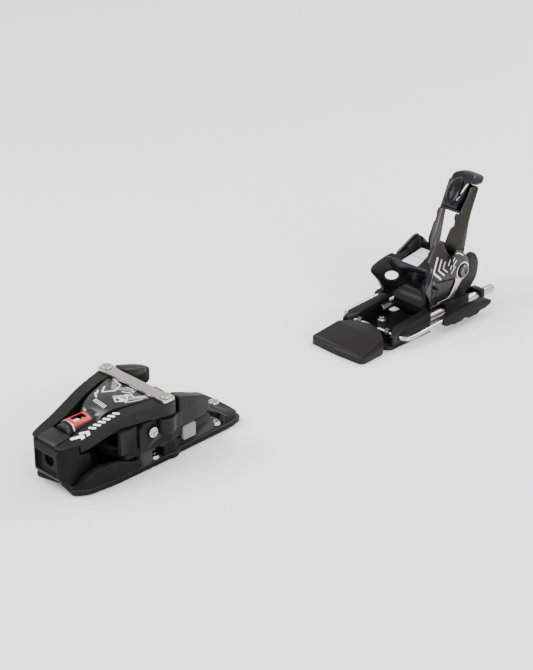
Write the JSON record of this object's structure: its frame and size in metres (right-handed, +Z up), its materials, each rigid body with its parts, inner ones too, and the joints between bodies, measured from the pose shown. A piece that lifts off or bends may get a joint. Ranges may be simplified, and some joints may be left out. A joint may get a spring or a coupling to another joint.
{
  "type": "ski binding",
  "caption": "Alpine ski binding: a toe unit with swinging wings and release spring, and a step-in heel unit with cup, lever, sliding carriage and ski brake.",
  "frame": {"origin": "centre of the footprint, on the ski's top face", "axes": "+X skier's left, +Y towards the ski's tail, +Z up; the toe unit's nose faces -Y"},
  "size_m": [0.0884, 0.5292, 0.1267],
  "materials": {
    "black_plastic": "satin, fine grain",
    "gloss_black": "glossy moulded",
    "dark_paint": "satin with a fine woven grain",
    "grey_plastic": "matt, slightly warm",
    "slate_plastic": "satin",
    "light_plate": "light silver, satin",
    "white_plastic": "satin",
    "red_plastic": "glossy",
    "gunmetal": "bronze grey with printed lines",
    "steel": "brushed, slightly warm",
    "spring_steel": "drawn wire",
    "alloy": "warm grey anodised"
  },
  "bodies": {
    "chassis": {"toe_base": "black_plastic", "toe_body": "black_plastic", "nose_block": "black_plastic", "nose_cap": "grey_plastic", "yoke": "dark_paint", "spring_tube": "dark_paint", "tube_band": "steel", "indicator_frame": "red_plastic", "toe_spring": "spring_steel", "spring_housing": "gunmetal", "bridge_plate": "steel", "wing_pin_left": "steel", "wing_pin_right": "steel", "side_screw_left": "steel", "side_screw_right": "steel", "side_plug_left": "slate_plastic", "side_plug_right": "slate_plastic", "toe_front_screw_left": "steel", "toe_front_screw_right": "steel", "toe_rear_screw_left": "steel", "toe_rear_screw_right": "steel", "heel_track": "black_plastic", "guide_rod_left": "steel", "guide_rod_right": "steel", "heel_front_screw_left": "steel", "heel_front_screw_right": "steel", "heel_rear_screw_left": "steel", "heel_rear_screw_right": "steel", "brake_spring_left": "spring_steel", "brake_spring_right": "spring_steel"},
    "indicator": {"indicator_nut": "white_plastic"},
    "release_screw": {"release_screw": "dark_paint"},
    "drawbar": {"drawbar": "steel"},
    "wing_left": {"wing_left": "grey_plastic"},
    "wing_right": {"wing_right": "grey_plastic"},
    "afd_carrier": {"afd_carrier": "black_plastic"},
    "afd_plate": {"afd_plate": "grey_plastic"},
    "afd_screw": {"afd_screw": "steel"},
    "brake": {"brake_pedal": "grey_plastic", "brake_wire_left": "steel", "brake_wire_right": "steel", "brake_paddle_left": "black_plastic", "brake_paddle_right": "black_plastic"},
    "carriage": {"carriage": "black_plastic", "side_frame_left": "steel", "side_frame_right": "steel", "hub_axle": "steel", "pressure_spring": "spring_steel"},
    "pressure_screw": {"pressure_screw": "steel"},
    "heel_housing": {"heel_cup": "gloss_black", "heel_housing": "black_plastic", "side_plate_left": "gunmetal", "side_plate_right": "gunmetal", "hub_screw_left": "steel", "hub_screw_right": "steel", "scale_window": "light_plate", "heel_spring": "spring_steel"},
    "heel_piston": {"heel_piston": "steel"},
    "lever": {"lever_fork": "alloy", "lever_grip": "gloss_black"}
  },
  "joints": [
    {"name": "wing_left_open", "type": "hinge", "parent": "chassis", "child": "wing_left", "pos_m": [0.036, -0.16825, 0.038], "axis": [0, 0, -1], "range_deg": [0, 28]},
    {"name": "wing_right_open", "type": "hinge", "parent": "chassis", "child": "wing_right", "pos_m": [-0.036, -0.16825, 0.038], "axis": [0, 0, 1], "range_deg": [0, 28]},
    {"name": "indicator_slide", "type": "slide", "parent": "chassis", "child": "indicator", "axis": [0, 1, 0], "range_m": [-0.003, 0.003]},
    {"name": "release_screw_turn", "type": "hinge", "parent": "chassis", "child": "release_screw", "pos_m": [0, -0.24425, 0.044], "axis": [0, 1, 0], "range_deg": [-721, 721]},
    {"name": "drawbar_slide", "type": "slide", "parent": "chassis", "child": "drawbar", "axis": [0, 1, 0], "range_m": [0, 0.003], "deforming": ["toe_spring"]},
    {"name": "afd_height", "type": "slide", "parent": "chassis", "child": "afd_carrier", "axis": [0, 0, 1], "range_m": [0, 0.0015]},
    {"name": "afd_screw_turn", "type": "hinge", "parent": "chassis", "child": "afd_screw", "pos_m": [0, -0.08225, 0.009], "axis": [0, 0, 1], "range_deg": [0, 541]},
    {"name": "afd_slide", "type": "slide", "parent": "afd_carrier", "child": "afd_plate", "axis": [1, 0, 0], "range_m": [-0.006, 0.006]},
    {"name": "brake_swing", "type": "hinge", "parent": "chassis", "child": "brake", "pos_m": [0, 0.12175, 0.0095], "axis": [-1, 0, 0], "range_deg": [0, 38]},
    {"name": "carriage_slide", "type": "slide", "parent": "chassis", "child": "carriage", "axis": [0, 1, 0], "range_m": [-0.004, 0.008], "deforming": ["pressure_spring"]},
    {"name": "pressure_screw_turn", "type": "hinge", "parent": "chassis", "child": "pressure_screw", "pos_m": [0, 0.24975, 0.0087], "axis": [0, 1, 0], "range_deg": [-961, 1921]},
    {"name": "heel_open", "type": "hinge", "parent": "carriage", "child": "heel_housing", "pos_m": [0, 0.21675, 0.044], "axis": [-1, 0, 0], "range_deg": [0, 48]},
    {"name": "lever_swing", "type": "hinge", "parent": "carriage", "child": "lever", "pos_m": [0, 0.21675, 0.044], "axis": [-1, 0, 0], "range_deg": [0, 61]},
    {"name": "piston_slide", "type": "slide", "parent": "heel_housing", "child": "heel_piston", "axis": [0, 1, 0], "range_m": [-0.003, 0], "deforming": ["heel_spring"]}
  ],
  "couplings": [
    {"joint": "release_screw_turn", "follows": "indicator_slide", "rad_per_m": 4188.8},
    {"joint": "afd_screw_turn", "follows": "afd_height", "rad_per_m": 6283.2},
    {"joint": "pressure_screw_turn", "follows": "carriage_slide", "rad_per_m": 4188.8},
    {"joint": "lever_swing", "follows": "heel_open", "ratio": 1.25}
  ]
}
